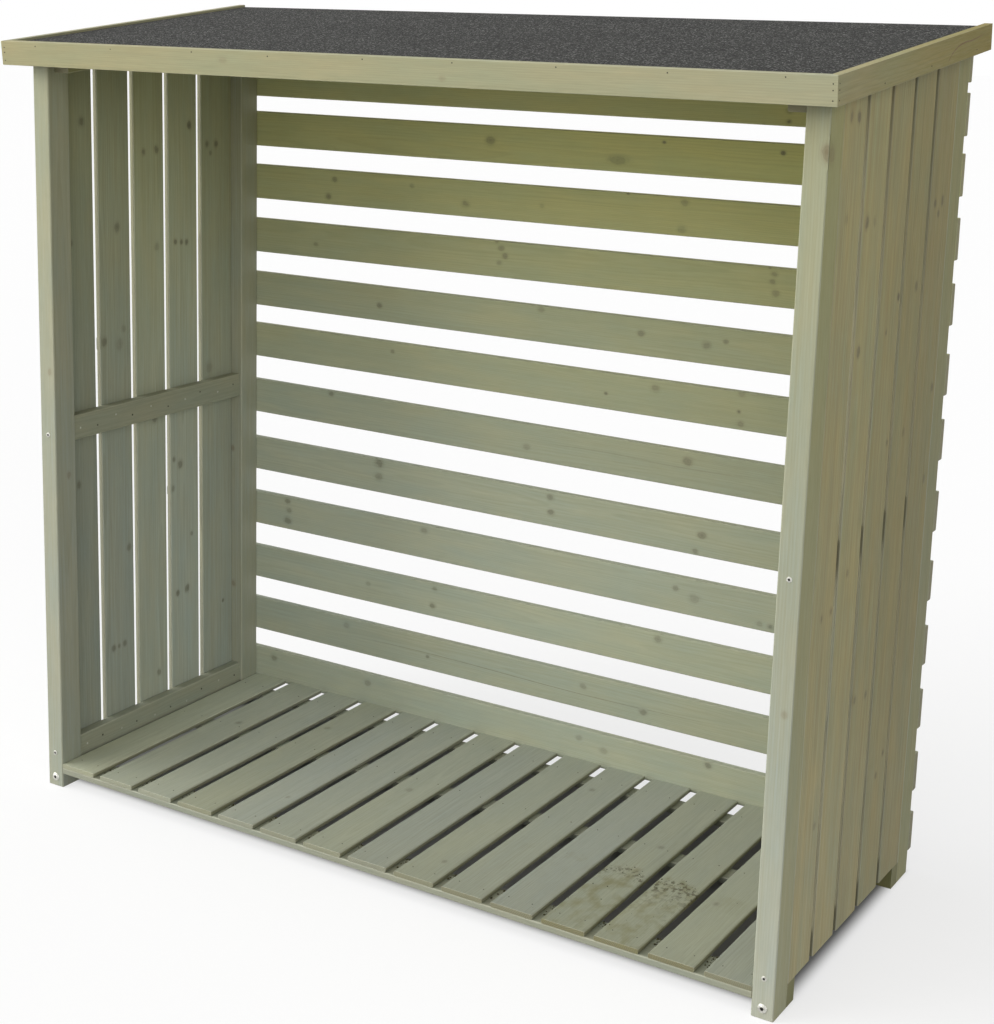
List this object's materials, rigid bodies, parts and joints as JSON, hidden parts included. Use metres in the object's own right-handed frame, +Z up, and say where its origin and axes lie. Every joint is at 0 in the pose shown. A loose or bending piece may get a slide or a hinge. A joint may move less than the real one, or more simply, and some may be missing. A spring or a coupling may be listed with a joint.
{
  "type": "firewood rack",
  "caption": "Open-fronted lean-to firewood rack of stained softwood, with boarded sides, a slatted back and floor, and a felted roof that falls to the front.",
  "frame": {"origin": "on the ground, under the middle of the rack's overall box", "axes": "+X along the front to the right, +Y towards the back boards, +Z up"},
  "size_m": [1.758, 0.7772, 1.6856],
  "materials": {
    "stained_frame_wood": "planed softwood with a grey-green stain",
    "stained_board_wood": "planed softwood with a grey-green stain",
    "stained_rail_wood": "planed softwood with a grey-green stain",
    "stained_floor_wood": "planed softwood with a weathered grey-green stain",
    "roof_panel_wood": "plain sheet wood, unseen under the felt",
    "mineral_felt": "bitumen felt with dark mineral grit"
  },
  "bodies": {
    "root": {"front_post_left": "stained_frame_wood", "front_post_right": "stained_frame_wood", "rear_post_left": "stained_frame_wood", "rear_post_right": "stained_frame_wood", "front_foot_left": "stained_rail_wood", "front_foot_right": "stained_rail_wood", "rear_foot_left": "stained_rail_wood", "rear_foot_right": "stained_rail_wood", "bottom_rail_left": "stained_rail_wood", "bottom_rail_right": "stained_rail_wood", "mid_rail_left": "stained_rail_wood", "mid_rail_right": "stained_rail_wood", "top_rail_left": "stained_rail_wood", "top_rail_right": "stained_rail_wood", "side_boards_left": "stained_board_wood", "side_boards_right": "stained_board_wood", "back_board_1": "stained_board_wood", "back_board_2": "stained_board_wood", "back_board_3": "stained_board_wood", "back_board_4": "stained_board_wood", "back_board_5": "stained_board_wood", "back_board_6": "stained_board_wood", "back_board_7": "stained_board_wood", "back_board_8": "stained_board_wood", "back_board_9": "stained_board_wood", "back_board_10": "stained_board_wood", "back_board_11": "stained_board_wood", "back_board_12": "stained_board_wood", "back_board_13": "stained_board_wood", "floor_batten_front": "stained_rail_wood", "floor_batten_middle": "stained_rail_wood", "floor_batten_rear": "stained_rail_wood", "floor_slats": "stained_floor_wood", "roof_batten_left": "stained_rail_wood", "roof_batten_right": "stained_rail_wood", "roof_deck": "roof_panel_wood", "roof_felt": "mineral_felt", "fascia_front": "stained_frame_wood", "fascia_left": "stained_frame_wood", "fascia_right": "stained_frame_wood"}
  },
  "joints": []
}
